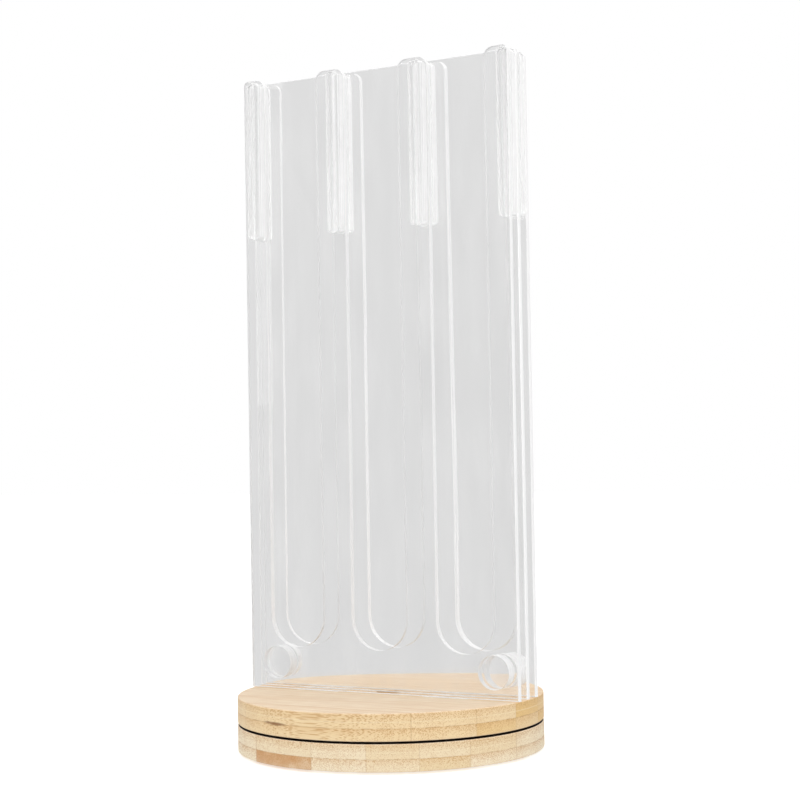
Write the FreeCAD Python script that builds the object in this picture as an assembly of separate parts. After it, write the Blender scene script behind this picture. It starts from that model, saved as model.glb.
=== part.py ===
import FreeCAD, Part
import math
import os

# Two-sided acrylic rack on a turntable of two bamboo discs.
# Millimetres, +Z up.  X runs along the plates, and the front of the rack faces -Y.
# The origin is on the surface that the feet stand on, on the turntable's axis.

# ---- driving dimensions: turntable -------------------------------------------------------
DISC_DIAMETER = 150.0
DISC_THICKNESS = 12.7
DISC_EDGE_ROUND = 0.6
SEAM = 1.0                      # open gap between the two discs

FOOT_COUNT = 4
FOOT_DIAMETER = 14.0
FOOT_THICKNESS = 2.2
FOOT_PROUD = 1.2                # how far a foot stands out of the lower disc
FOOT_RADIUS = 58.0              # from the axis to the middle of a foot
FOOT_EDGE_ROUND = 0.5
FOOT_GAP = 0.1                  # glue gap round a foot

# ---- driving dimensions: acrylic rack ----------------------------------------------------
SHEET = 3.0                     # plate thickness
CHANNEL_DEPTH = 6.0             # gap between a comb and the centre panel, two sheets
PLATE_WIDTH = 150.0
PLATE_HEIGHT = 309.0            # above the upper disc
COLUMN_COUNT = 3
COLUMN_PITCH = 47.2
SLOT_WIDTH = 30.8
SLOT_FLOOR = 21.0               # lowest point of a slot above the upper disc
FINGER_ROUND = 5.0              # tops of the fingers, beside a slot
OUTER_ROUND = 2.5               # top corners at the plate's outer edges

TAB_LENGTH = 24.0
TAB_DEPTH = 4.0
TAB_CENTRE = 36.0               # from the axis to the middle of a tab, along X
TAB_GAP = 0.1                   # glue gap round a tab

STRIP_WIDTH = 7.0
STRIP_LENGTH = 81.0
STRIP_ROUND = 2.5
STRIP_DROP = 0.3                # top of a strip below the top of the fingers
ROUND_SPACER_DIAMETER = 16.4
ROUND_SPACER_X = 61.0
ROUND_SPACER_HEIGHT = 12.8      # middle of a round spacer above the upper disc

# ---- driving dimensions: ball bearing ----------------------------------------------------
BALL_COUNT = 24
BALL_DIAMETER = 4.0
BALL_CIRCLE = 40.0              # radius of the circle of balls
GROOVE_CLEARANCE = 0.05
RACE_WIDTH = 15.0
RACE_OFFSET = 2.5               # lower race is this far inwards, upper race outwards
RACE_THICKNESS = 2.7
RACE_GAP = 0.15                 # between a race and the wall of its recess
CAGE_THICKNESS = 0.7
CAGE_WIDTH = 6.0
CAGE_POCKET_CLEARANCE = 0.1

RACE_SCREW_COUNT = 4
RACE_SCREW_INSET = 3.5          # from a race's free edge to its screws
WOOD_SCREW_LENGTH = 8.0
WOOD_SCREW_SHANK = 2.6
WOOD_SCREW_HEAD = 5.4
WOOD_SCREW_HEAD_DEPTH = 1.5
WOOD_SCREW_TIP = 2.0
CROSS_WIDTH = 0.7
CROSS_LENGTH = 2.8
CROSS_DEPTH = 0.9
SCREW_FIRST_ANGLE = 45.0

# ---- driving dimensions: pivot bolt ------------------------------------------------------
SHOULDER_DIAMETER = 6.0
BUSH_CLEARANCE = 0.05           # radial running fit on the bolt's shoulder
BUSH_DIAMETER = 9.0
BUSH_FLANGE_DIAMETER = 12.0
BUSH_FLANGE_THICKNESS = 0.8
BUSH_END_GAP = 0.2              # bush ends this far above the upper disc's underside
BOLT_HEAD_DIAMETER = 11.4
BOLT_HEAD_THICKNESS = 2.0
BOLT_HEAD_ROUND = 0.5
BOLT_HEAD_FLOAT = 0.1           # end play under the head
SOCKET_ACROSS_FLATS = 4.0
SOCKET_DEPTH = 1.3
TOP_COUNTERBORE_DIAMETER = 12.6
TOP_COUNTERBORE_DEPTH = 4.9
THREAD_DIAMETER = 5.0
THREAD_HOLE = 5.3
THREAD_PAST_NUT = 0.4
SHOULDER_WASHER_DIAMETER = 14.0
WASHER_THICKNESS = 1.0
WASHER_GAP = 0.1
NUT_WASHER_DIAMETER = 10.0
NUT_ACROSS_FLATS = 8.0
NUT_HEIGHT = 4.0
NUT_CHAMFER = 0.6
NUT_COUNTERBORE_DIAMETER = 13.0
NUT_COUNTERBORE_DEPTH = 6.0

# ---- heights and radii that follow -------------------------------------------------------
LOWER_BOTTOM = FOOT_PROUD
LOWER_TOP = LOWER_BOTTOM + DISC_THICKNESS
UPPER_BOTTOM = LOWER_TOP + SEAM
UPPER_TOP = UPPER_BOTTOM + DISC_THICKNESS
PLATE_TOP = UPPER_TOP + PLATE_HEIGHT
BALL_PLANE = LOWER_TOP + SEAM / 2
LOWER_RACE_RADIUS = BALL_CIRCLE - RACE_OFFSET
UPPER_RACE_RADIUS = BALL_CIRCLE + RACE_OFFSET
LOWER_SCREW_RADIUS = LOWER_RACE_RADIUS - RACE_WIDTH / 2 + RACE_SCREW_INSET
UPPER_SCREW_RADIUS = UPPER_RACE_RADIUS + RACE_WIDTH / 2 - RACE_SCREW_INSET
COMB_OFFSET = SHEET + CHANNEL_DEPTH         # from the centre panel to a comb, middle to middle
PLATE_PLACES = (-COMB_OFFSET, 0.0, COMB_OFFSET)
COLUMNS = [(n - (COLUMN_COUNT - 1) / 2) * COLUMN_PITCH for n in range(COLUMN_COUNT)]
BUSH_SEAT = UPPER_TOP - TOP_COUNTERBORE_DEPTH
BOLT_HEAD_BOTTOM = BUSH_SEAT + BUSH_FLANGE_THICKNESS + BOLT_HEAD_FLOAT
NUT_SEAT = LOWER_BOTTOM + NUT_COUNTERBORE_DEPTH
NUT_TOP = NUT_SEAT - WASHER_THICKNESS

CUT_MARGIN = 1.0                # how far a cutting tool runs past an open face
UP = FreeCAD.Vector(0, 0, 1)


# ---- general helpers ---------------------------------------------------------------------
def cylinder(diameter, bottom, top, x=0.0, y=0.0):
    """Upright cylinder between two heights."""
    return Part.makeCylinder(diameter / 2, top - bottom, FreeCAD.Vector(x, y, bottom), UP)


def ring(inner_radius, outer_radius, bottom, top):
    """Flat ring about the Z axis between two heights."""
    outer = cylinder(2 * outer_radius, bottom, top)
    return outer.cut(cylinder(2 * inner_radius, bottom - CUT_MARGIN, top + CUT_MARGIN))


def hexagon(across_flats, bottom, top):
    """Upright hexagonal bar about the Z axis."""
    radius = across_flats / math.sqrt(3)
    corners = [on_circle(radius, 60.0 * n, bottom) for n in range(7)]
    return Part.Face(Part.makePolygon(corners)).extrude(FreeCAD.Vector(0, 0, top - bottom))


def on_circle(radius, degrees, height=0.0):
    """Point on a circle about the Z axis."""
    angle = math.radians(degrees)
    return FreeCAD.Vector(radius * math.cos(angle), radius * math.sin(angle), height)


def evenly_around(shape, count, first=0.0):
    """Copies of a shape turned about the Z axis."""
    copies = []
    for n in range(count):
        turned = shape.copy()
        turned.rotate(FreeCAD.Vector(0, 0, 0), UP, first + 360.0 * n / count)
        copies.append(turned)
    return copies


def round_edges_at(shape, radius, heights):
    """Round the outermost circular edges at the given heights."""
    widest = max(edge.BoundBox.XMax for edge in shape.Edges)
    chosen = []
    for edge in shape.Edges:
        box = edge.BoundBox
        level = any(abs(box.ZMin - h) < 1e-6 and abs(box.ZMax - h) < 1e-6 for h in heights)
        if level and abs(box.XMax - widest) < 1e-6:
            chosen.append(edge)
    return shape.makeFillet(radius, chosen)


class Outline:
    """Closed outline in the XZ plane, drawn with lines and arcs."""

    def __init__(self, x, z):
        self.start = FreeCAD.Vector(x, 0, z)
        self.here = self.start
        self.edges = []

    def line_to(self, x, z):
        point = FreeCAD.Vector(x, 0, z)
        if point.distanceToPoint(self.here) > 1e-6:
            self.edges.append(Part.makeLine(self.here, point))
        self.here = point

    def arc(self, x, z, radius, first, last):
        """Arc about (x, z) from one direction to another, in degrees."""
        points = []
        for degrees in (first, (first + last) / 2, last):
            angle = math.radians(degrees)
            points.append(FreeCAD.Vector(x + radius * math.cos(angle), 0, z + radius * math.sin(angle)))
        self.line_to(points[0].x, points[0].z)
        self.edges.append(Part.Arc(*points).toShape())
        self.here = points[2]

    def plate(self, middle_y, thickness):
        """Close the outline and give it its thickness about middle_y."""
        self.line_to(self.start.x, self.start.z)
        face = Part.Face(Part.Wire(self.edges))
        face.translate(FreeCAD.Vector(0, middle_y - thickness / 2, 0))
        return face.extrude(FreeCAD.Vector(0, thickness, 0))


# ---- bamboo discs and feet ---------------------------------------------------------------
def disc_blank(bottom):
    top = bottom + DISC_THICKNESS
    blank = cylinder(DISC_DIAMETER, bottom, top)
    return round_edges_at(blank, DISC_EDGE_ROUND, (bottom, top))


def race_recess(race_radius, bottom, top):
    half = RACE_WIDTH / 2 + RACE_GAP
    return ring(race_radius - half, race_radius + half, bottom, top)


def foot_places():
    return [on_circle(FOOT_RADIUS, 45.0 + 360.0 * n / FOOT_COUNT) for n in range(FOOT_COUNT)]


def lower_disc():
    disc = disc_blank(LOWER_BOTTOM)
    tools = [
        race_recess(LOWER_RACE_RADIUS, LOWER_TOP - RACE_THICKNESS, LOWER_TOP + CUT_MARGIN),
        cylinder(THREAD_HOLE, LOWER_BOTTOM - CUT_MARGIN, LOWER_TOP + CUT_MARGIN),
        cylinder(SHOULDER_WASHER_DIAMETER + 2 * WASHER_GAP, LOWER_TOP - WASHER_THICKNESS,
                 LOWER_TOP + CUT_MARGIN),
        cylinder(NUT_COUNTERBORE_DIAMETER, LOWER_BOTTOM - CUT_MARGIN, NUT_SEAT),
    ]
    recess_top = FOOT_THICKNESS
    for place in foot_places():
        tools.append(cylinder(FOOT_DIAMETER + 2 * FOOT_GAP, LOWER_BOTTOM - CUT_MARGIN, recess_top,
                              place.x, place.y))
    return disc.cut(tools + lower_race_screws(with_cross=False))


def upper_disc():
    disc = disc_blank(UPPER_BOTTOM)
    tools = [
        race_recess(UPPER_RACE_RADIUS, UPPER_BOTTOM - CUT_MARGIN, UPPER_BOTTOM + RACE_THICKNESS),
        cylinder(BUSH_DIAMETER, UPPER_BOTTOM - CUT_MARGIN, BUSH_SEAT + CUT_MARGIN),
        cylinder(TOP_COUNTERBORE_DIAMETER, BUSH_SEAT, UPPER_TOP + CUT_MARGIN),
    ]
    length = TAB_LENGTH + 2 * TAB_GAP
    depth = TAB_DEPTH + TAB_GAP
    for y in PLATE_PLACES:
        for side in (-1, 1):
            corner = FreeCAD.Vector(side * TAB_CENTRE - length / 2, y - SHEET / 2, UPPER_TOP - depth)
            tools.append(Part.makeBox(length, SHEET, depth + CUT_MARGIN, corner))
    return disc.cut(tools + upper_race_screws(with_cross=False))


def foot(place):
    pad = cylinder(FOOT_DIAMETER, 0.0, FOOT_THICKNESS)
    pad = round_edges_at(pad, FOOT_EDGE_ROUND, (0.0,))
    pad.translate(place)
    return pad


# ---- ball bearing ------------------------------------------------------------------------
def ball_groove():
    middle = FreeCAD.Vector(0, 0, BALL_PLANE)
    return Part.makeTorus(BALL_CIRCLE, BALL_DIAMETER / 2 + GROOVE_CLEARANCE, middle, UP)


def race(race_radius, bottom, screw_holes):
    half = RACE_WIDTH / 2
    blank = ring(race_radius - half, race_radius + half, bottom, bottom + RACE_THICKNESS)
    return blank.cut([ball_groove()] + screw_holes)


def lower_race():
    return race(LOWER_RACE_RADIUS, LOWER_TOP - RACE_THICKNESS, lower_race_screws(with_cross=False))


def upper_race():
    return race(UPPER_RACE_RADIUS, UPPER_BOTTOM, upper_race_screws(with_cross=False))


def ball_cage():
    half = CAGE_WIDTH / 2
    bottom = BALL_PLANE - CAGE_THICKNESS / 2
    top = BALL_PLANE + CAGE_THICKNESS / 2
    blank = ring(BALL_CIRCLE - half, BALL_CIRCLE + half, bottom, top)
    pocket = cylinder(BALL_DIAMETER + 2 * CAGE_POCKET_CLEARANCE, bottom - CUT_MARGIN,
                      top + CUT_MARGIN, BALL_CIRCLE)
    return blank.cut(evenly_around(pocket, BALL_COUNT))


def bearing_balls():
    ball = Part.makeSphere(BALL_DIAMETER / 2, FreeCAD.Vector(BALL_CIRCLE, 0, BALL_PLANE))
    return Part.makeCompound(evenly_around(ball, BALL_COUNT))


# ---- screws of the races -----------------------------------------------------------------
def wood_screw(with_cross):
    """Countersunk wood screw, its flat head at z = 0 and its point down."""
    head = WOOD_SCREW_HEAD / 2
    shank = WOOD_SCREW_SHANK / 2
    shank_end = -(WOOD_SCREW_LENGTH - WOOD_SCREW_TIP)
    body = Part.makeCone(head, shank, WOOD_SCREW_HEAD_DEPTH, FreeCAD.Vector(0, 0, 0), -UP)
    body = body.fuse(cylinder(WOOD_SCREW_SHANK, shank_end, -WOOD_SCREW_HEAD_DEPTH))
    body = body.fuse(Part.makeCone(shank, 0.0, WOOD_SCREW_TIP, FreeCAD.Vector(0, 0, shank_end), -UP))
    body = body.removeSplitter()
    if not with_cross:
        return body
    for long_way, short_way in ((CROSS_LENGTH, CROSS_WIDTH), (CROSS_WIDTH, CROSS_LENGTH)):
        corner = FreeCAD.Vector(-long_way / 2, -short_way / 2, -CROSS_DEPTH)
        body = body.cut(Part.makeBox(long_way, short_way, CROSS_DEPTH + CUT_MARGIN, corner))
    return body


def lower_race_screws(with_cross=True):
    """Screws that point down, their heads flush with the lower race."""
    screw = wood_screw(with_cross)
    screw.translate(FreeCAD.Vector(LOWER_SCREW_RADIUS, 0, LOWER_TOP))
    return evenly_around(screw, RACE_SCREW_COUNT, SCREW_FIRST_ANGLE)


def upper_race_screws(with_cross=True):
    """Screws that point up, their heads flush with the upper race."""
    screw = wood_screw(with_cross)
    screw.rotate(FreeCAD.Vector(0, 0, 0), FreeCAD.Vector(1, 0, 0), 180)
    screw.translate(FreeCAD.Vector(UPPER_SCREW_RADIUS, 0, UPPER_BOTTOM))
    return evenly_around(screw, RACE_SCREW_COUNT, SCREW_FIRST_ANGLE)


# ---- pivot -------------------------------------------------------------------------------
def pivot_bolt():
    """Shoulder bolt: it is clamped to the lower disc, and the upper disc turns on its shoulder."""
    head_top = BOLT_HEAD_BOTTOM + BOLT_HEAD_THICKNESS
    head = cylinder(BOLT_HEAD_DIAMETER, BOLT_HEAD_BOTTOM, head_top)
    head = round_edges_at(head, BOLT_HEAD_ROUND, (head_top,))
    shoulder = cylinder(SHOULDER_DIAMETER, LOWER_TOP, BOLT_HEAD_BOTTOM)
    thread = cylinder(THREAD_DIAMETER, NUT_TOP - NUT_HEIGHT - THREAD_PAST_NUT, LOWER_TOP)
    socket = hexagon(SOCKET_ACROSS_FLATS, head_top - SOCKET_DEPTH, head_top + CUT_MARGIN)
    return head.fuse([shoulder, thread]).cut(socket)


def pivot_bush():
    inner = SHOULDER_DIAMETER / 2 + BUSH_CLEARANCE
    bottom = UPPER_BOTTOM + BUSH_END_GAP
    top = BUSH_SEAT + BUSH_FLANGE_THICKNESS
    sleeve = ring(inner, BUSH_DIAMETER / 2, bottom, top)
    flange = ring(inner, BUSH_FLANGE_DIAMETER / 2, BUSH_SEAT, top)
    return sleeve.fuse(flange).removeSplitter()


def shoulder_washer():
    return ring(THREAD_DIAMETER / 2, SHOULDER_WASHER_DIAMETER / 2, LOWER_TOP - WASHER_THICKNESS, LOWER_TOP)


def nut_washer():
    return ring(THREAD_DIAMETER / 2, NUT_WASHER_DIAMETER / 2, NUT_TOP, NUT_SEAT)


def pivot_nut():
    bottom = NUT_TOP - NUT_HEIGHT
    chamfered = NUT_ACROSS_FLATS / math.sqrt(3) - NUT_CHAMFER
    cone = Part.makeCone(chamfered, chamfered + NUT_HEIGHT, NUT_HEIGHT, FreeCAD.Vector(0, 0, bottom))
    blank = hexagon(NUT_ACROSS_FLATS, bottom, NUT_TOP).common(cone)
    return blank.cut(cylinder(THREAD_DIAMETER, bottom - CUT_MARGIN, NUT_TOP + CUT_MARGIN))


# ---- acrylic plates ----------------------------------------------------------------------
def foot_with_tabs(outline):
    """Bottom edge of a plate, right to left, with its two tabs."""
    for middle in (TAB_CENTRE, -TAB_CENTRE):
        outline.line_to(middle + TAB_LENGTH / 2, UPPER_TOP)
        outline.line_to(middle + TAB_LENGTH / 2, UPPER_TOP - TAB_DEPTH)
        outline.line_to(middle - TAB_LENGTH / 2, UPPER_TOP - TAB_DEPTH)
        outline.line_to(middle - TAB_LENGTH / 2, UPPER_TOP)


def centre_panel():
    half = PLATE_WIDTH / 2
    outline = Outline(-half, UPPER_TOP)
    outline.line_to(-half, PLATE_TOP)
    outline.line_to(half, PLATE_TOP)
    outline.line_to(half, UPPER_TOP)
    foot_with_tabs(outline)
    return outline.plate(0.0, SHEET)


def comb(middle_y):
    """Plate with open-topped slots, round at the bottom, between round-topped fingers."""
    half = PLATE_WIDTH / 2
    slot = SLOT_WIDTH / 2
    slot_centre = UPPER_TOP + SLOT_FLOOR + slot
    outline = Outline(-half, UPPER_TOP)
    outline.arc(-half + OUTER_ROUND, PLATE_TOP - OUTER_ROUND, OUTER_ROUND, 180, 90)
    for x in COLUMNS:
        outline.arc(x - slot - FINGER_ROUND, PLATE_TOP - FINGER_ROUND, FINGER_ROUND, 90, 0)
        outline.arc(x, slot_centre, slot, 180, 360)
        outline.arc(x + slot + FINGER_ROUND, PLATE_TOP - FINGER_ROUND, FINGER_ROUND, 180, 90)
    outline.arc(half - OUTER_ROUND, PLATE_TOP - OUTER_ROUND, OUTER_ROUND, 90, 0)
    outline.line_to(half, UPPER_TOP)
    foot_with_tabs(outline)
    return outline.plate(middle_y, SHEET)


# ---- acrylic spacers ---------------------------------------------------------------------
def strip_places():
    """Middles of the strips along X: flush at the outer edges, centred on the inner fingers."""
    edge = PLATE_WIDTH / 2 - STRIP_WIDTH / 2
    inner = [(left + right) / 2 for left, right in zip(COLUMNS, COLUMNS[1:])]
    return [-edge] + inner + [edge]


def strip_spacer(middle_x, middle_y):
    top = PLATE_TOP - STRIP_DROP - STRIP_ROUND
    bottom = PLATE_TOP - STRIP_DROP - STRIP_LENGTH + STRIP_ROUND
    reach = STRIP_WIDTH / 2 - STRIP_ROUND
    outline = Outline(middle_x - STRIP_WIDTH / 2, bottom)
    outline.arc(middle_x - reach, top, STRIP_ROUND, 180, 90)
    outline.arc(middle_x + reach, top, STRIP_ROUND, 90, 0)
    outline.arc(middle_x + reach, bottom, STRIP_ROUND, 0, -90)
    outline.arc(middle_x - reach, bottom, STRIP_ROUND, -90, -180)
    return outline.plate(middle_y, CHANNEL_DEPTH)


def round_spacer(x, middle_y):
    start = FreeCAD.Vector(x, middle_y - CHANNEL_DEPTH / 2, UPPER_TOP + ROUND_SPACER_HEIGHT)
    return Part.makeCylinder(ROUND_SPACER_DIAMETER / 2, CHANNEL_DEPTH, start, FreeCAD.Vector(0, 1, 0))


def all_parts():
    parts = {
        "lower_disc": lower_disc(),
        "upper_disc": upper_disc(),
        "lower_race": lower_race(),
        "upper_race": upper_race(),
        "ball_cage": ball_cage(),
        "bearing_balls": bearing_balls(),
        "lower_race_screws": Part.makeCompound(lower_race_screws()),
        "upper_race_screws": Part.makeCompound(upper_race_screws()),
        "pivot_bolt": pivot_bolt(),
        "pivot_bush": pivot_bush(),
        "shoulder_washer": shoulder_washer(),
        "nut_washer": nut_washer(),
        "pivot_nut": pivot_nut(),
        "centre_panel": centre_panel(),
        "front_comb": comb(-COMB_OFFSET),
        "rear_comb": comb(COMB_OFFSET),
    }
    for n, place in enumerate(foot_places(), start=1):
        parts[f"foot_{n}"] = foot(place)
    for side, middle_y in (("front", -COMB_OFFSET / 2), ("rear", COMB_OFFSET / 2)):
        for n, x in enumerate(strip_places(), start=1):
            parts[f"{side}_strip_{n}"] = strip_spacer(x, middle_y)
        parts[f"{side}_round_left"] = round_spacer(-ROUND_SPACER_X, middle_y)
        parts[f"{side}_round_right"] = round_spacer(ROUND_SPACER_X, middle_y)
    return parts


os.makedirs("parts", exist_ok=True)
for name, shape in all_parts().items():
    shape.exportStep(f"parts/{name}.step")
    print(f"{name}: {len(shape.Solids)} solid(s), {shape.Volume:.1f} mm3, valid {shape.isValid()}")
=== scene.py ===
"""Looks of a two-sided acrylic rack on a bamboo turntable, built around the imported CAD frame.

Every length in a dataclass field or constant is in millimetres and is turned to metres by MM where
meshes are made.  The rack's plates run along X, its front faces -Y and +Z is up.
"""

import logging
import math
from dataclasses import dataclass, field
from enum import Enum
from functools import partial
from typing import Any, Iterable, Sequence

import bmesh
import bpy
from bmesh.types import BMesh, BMVert
from bpy.types import Material, Mesh, Node, NodeSocket, NodeTree, Object
from mathutils import Matrix, Vector


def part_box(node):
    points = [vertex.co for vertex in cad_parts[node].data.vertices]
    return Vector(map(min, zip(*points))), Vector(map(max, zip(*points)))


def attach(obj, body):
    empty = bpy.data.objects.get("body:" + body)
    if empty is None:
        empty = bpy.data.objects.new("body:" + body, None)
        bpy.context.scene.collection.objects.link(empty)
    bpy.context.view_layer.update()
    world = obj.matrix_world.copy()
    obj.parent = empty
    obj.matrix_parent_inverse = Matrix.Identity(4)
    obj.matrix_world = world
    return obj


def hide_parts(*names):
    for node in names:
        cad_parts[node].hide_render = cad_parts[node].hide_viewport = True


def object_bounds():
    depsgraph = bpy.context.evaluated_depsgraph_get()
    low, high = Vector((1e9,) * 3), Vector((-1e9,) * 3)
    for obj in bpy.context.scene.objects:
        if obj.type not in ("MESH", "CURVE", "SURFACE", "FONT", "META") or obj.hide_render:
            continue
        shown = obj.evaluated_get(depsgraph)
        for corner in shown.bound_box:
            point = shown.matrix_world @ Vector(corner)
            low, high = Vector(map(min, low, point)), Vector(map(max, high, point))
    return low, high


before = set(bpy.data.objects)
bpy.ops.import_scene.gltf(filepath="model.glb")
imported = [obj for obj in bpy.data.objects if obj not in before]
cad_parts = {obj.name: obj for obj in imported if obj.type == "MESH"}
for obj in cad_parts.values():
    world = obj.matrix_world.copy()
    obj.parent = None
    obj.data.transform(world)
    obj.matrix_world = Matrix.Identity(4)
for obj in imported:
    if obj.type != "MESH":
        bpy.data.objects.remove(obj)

CAD_LOW, CAD_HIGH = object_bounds()
MM = 0.001
LOG = logging.getLogger("rack")

Point = tuple[float, float]
# Limits of a Map Range: where it starts and ends, and what it gives there
Limits = tuple[float, float, float, float]


# --- Node and mesh helpers ---
def linear(hex_colour: str) -> tuple[float, float, float, float]:
    """Turn an sRGB hex colour into the linear RGBA that shader sockets hold."""
    channels = [int(hex_colour[n:n + 2], 16) / 255 for n in (1, 3, 5)]
    red, green, blue = [c / 12.92 if c <= 0.04045 else ((c + 0.055) / 1.055) ** 2.4 for c in channels]
    return red, green, blue, 1.0


def feed(tree: NodeTree, node: Node, inputs: dict[Any, Any]) -> None:
    """Set or link a node's inputs.

    Args:
        tree: The tree that holds the node.
        node: The node.
        inputs: Input socket, by name or number, to a plain value, or to the socket or the node that
            feeds it.  A node feeds it from the first output that it shows.
    """
    for key, value in inputs.items():
        if isinstance(value, Node):
            value = next(socket for socket in value.outputs if socket.enabled)
        if isinstance(value, NodeSocket):
            tree.links.new(value, node.inputs[key])
        else:
            node.inputs[key].default_value = value


def add_node(tree: NodeTree, kind: str, inputs: dict[Any, Any] | None = None, **settings: Any) -> Node:
    """Add one node to a shader or geometry tree.

    Args:
        tree: The tree that gets the node.
        kind: The node's bl_idname.
        inputs: The node's inputs, as feed takes them.
        **settings: Properties of the node itself, set first.

    Returns:
        The new node.
    """
    node = tree.nodes.new(kind)
    for name, value in settings.items():
        setattr(node, name, value)
    feed(tree, node, inputs or {})
    return node


def within(value: Any, limits: Limits) -> dict[str, Any]:
    """Return a Map Range's inputs for a value and its limits."""
    return {"Value": value, **dict(zip(("From Min", "From Max", "To Min", "To Max"), limits))}


def mesh_from(name: str, shape: BMesh, sharp_degrees: float = 25.0) -> Mesh:
    """Turn a bmesh into a mesh that is smooth except along its sharp edges."""
    mesh = bpy.data.meshes.new(name)
    bmesh.ops.recalc_face_normals(shape, faces=shape.faces)
    shape.to_mesh(mesh)
    shape.free()
    mesh.shade_smooth()
    mesh.set_sharp_from_angle(angle=math.radians(sharp_degrees))
    return mesh


def new_object(name: str, mesh: Mesh, materials: Sequence[Material] = ()) -> Object:
    """Link a mesh into the scene as an object at the origin."""
    piece = bpy.data.objects.new(name, mesh)
    for material in materials:
        mesh.materials.append(material)
    bpy.context.scene.collection.objects.link(piece)
    return piece


def let_light_through(piece: Object) -> None:
    """Let the lamps shine through a clear piece, as real acrylic does."""
    piece.visible_shadow = False


def finish_piece(piece: Object, body: str, nodes: Iterable[str]) -> Object:
    """Let a piece ride on its body in place of its CAD nodes.

    Args:
        piece: The finished piece, at the origin.
        body: The CAD body that it moves with.
        nodes: The CAD nodes that it stands for.

    Returns:
        The same piece.
    """
    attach(piece, body)
    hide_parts(*nodes)
    LOG.info("%s: %d faces on body %s", piece.name, len(piece.data.polygons), body)
    return piece


def dress(node: str, material: Material) -> None:
    """Give a CAD node that stays in view its material."""
    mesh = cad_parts[node].data
    mesh.materials.clear()
    mesh.materials.append(material)
    LOG.info("%s: CAD node, %s", node, material.name)


def middle_of(node: str) -> Vector:
    """Middle of a CAD node's box, in metres."""
    low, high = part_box(node)
    return (low + high) / 2


def size_of(node: str) -> tuple[float, ...]:
    """Size of a CAD node's box, in millimetres."""
    return tuple((high - low) / MM for low, high in zip(*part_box(node)))


class Outline:
    """Outline in the XZ plane in millimetres, drawn with lines and arcs."""

    def __init__(self, arc_step: float = 7.5) -> None:
        """Start an empty outline whose arcs turn by about arc_step degrees a point."""
        self.points: list[Point] = []
        self.arc_step = arc_step

    def line_to(self, x: float, z: float) -> None:
        """Add a corner, unless the outline is there already."""
        if not self.points or math.dist(self.points[-1], (x, z)) > 1e-6:
            self.points.append((x, z))

    def arc(self, x: float, z: float, radius: float, first: float, last: float) -> None:
        """Add an arc about (x, z) between two directions, in degrees."""
        steps = max(2, round(abs(last - first) / self.arc_step))
        for n in range(steps + 1):
            angle = math.radians(first + (last - first) * n / steps)
            self.line_to(x + radius * math.cos(angle), z + radius * math.sin(angle))


def cut_sheet(name: str, outline: Sequence[Point], thickness: float, arris: float) -> Mesh:
    """Make a flat piece cut from sheet, about y = 0, with its sharp edges just broken.

    Its cut sides carry the face attribute "cut" and material index 1, and a UV map that runs along
    the outline, so that the marks of the cut can follow it.

    Args:
        name: Name of the mesh.
        outline: Closed outline in the XZ plane, in millimetres.
        thickness: Thickness of the sheet, in millimetres.
        arris: Width of the broken edge, in millimetres.

    Returns:
        The mesh, in metres.
    """
    shape = bmesh.new()
    half = thickness / 2 * MM
    front = [shape.verts.new((x * MM, -half, z * MM)) for x, z in outline]
    back = [shape.verts.new((x * MM, half, z * MM)) for x, z in outline]
    caps = [shape.faces.new(front), shape.faces.new(back[::-1])]
    run = 0.0
    runs = shape.loops.layers.uv.new("along_cut")
    for n, here in enumerate(front):
        following = (n + 1) % len(front)
        length = (front[following].co - here.co).length
        side = shape.faces.new((here, back[n], back[following], front[following]))
        for loop, place in zip(side.loops, (run, run, run + length, run + length)):
            loop[runs].uv = (place, loop.vert.co.y)
        run += length
    rims = [edge for cap in caps for edge in cap.edges]
    bmesh.ops.bevel(shape, geom=rims, offset=arris * MM, segments=2, profile=0.5, affect="EDGES")
    bmesh.ops.recalc_face_normals(shape, faces=shape.faces)
    cut = shape.faces.layers.bool.new("cut")
    for face in shape.faces:
        face[cut] = abs(face.normal.y) < 0.999
        face.material_index = 1 if face[cut] else 0
    return mesh_from(name, shape)


def lathe(name: str, profile: Sequence[Point], steps: int) -> Mesh:
    """Turn a closed (radius, height) profile in millimetres about the Z axis.

    Points of radius 0 become single vertices, so the poles are closed.

    Args:
        name: Name of the mesh.
        profile: Points from the first to the last, closed by the axis or by the turn itself.
        steps: Number of steps in a full turn.

    Returns:
        The mesh, in metres.
    """
    shape = bmesh.new()
    rings: list[list[BMVert]] = []
    for radius, height in profile:
        count = 1 if radius < 1e-9 else steps
        turn = [2 * math.pi * n / steps for n in range(count)]
        rings.append([shape.verts.new((radius * MM * math.cos(a), radius * MM * math.sin(a), height * MM))
                      for a in turn])
    closed = profile[0][0] > 1e-9 and profile[-1][0] > 1e-9
    pairs = list(zip(rings, rings[1:])) + ([(rings[-1], rings[0])] if closed else [])
    for low, high in pairs:
        for n in range(steps):
            below = [low[n % len(low)], low[(n + 1) % len(low)]]
            above = [high[(n + 1) % len(high)], high[n % len(high)]]
            unique = list(dict.fromkeys(below + above))
            if len(unique) > 2:
                shape.faces.new(unique)
    return mesh_from(name, shape)


# --- Geometry Nodes: copies at places, and copies round a circle ---
class Layout(Enum):
    """How copies of a small part are laid out."""

    AT_PLACES = "at_places"
    ROUND_A_CIRCLE = "round_a_circle"


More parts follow.
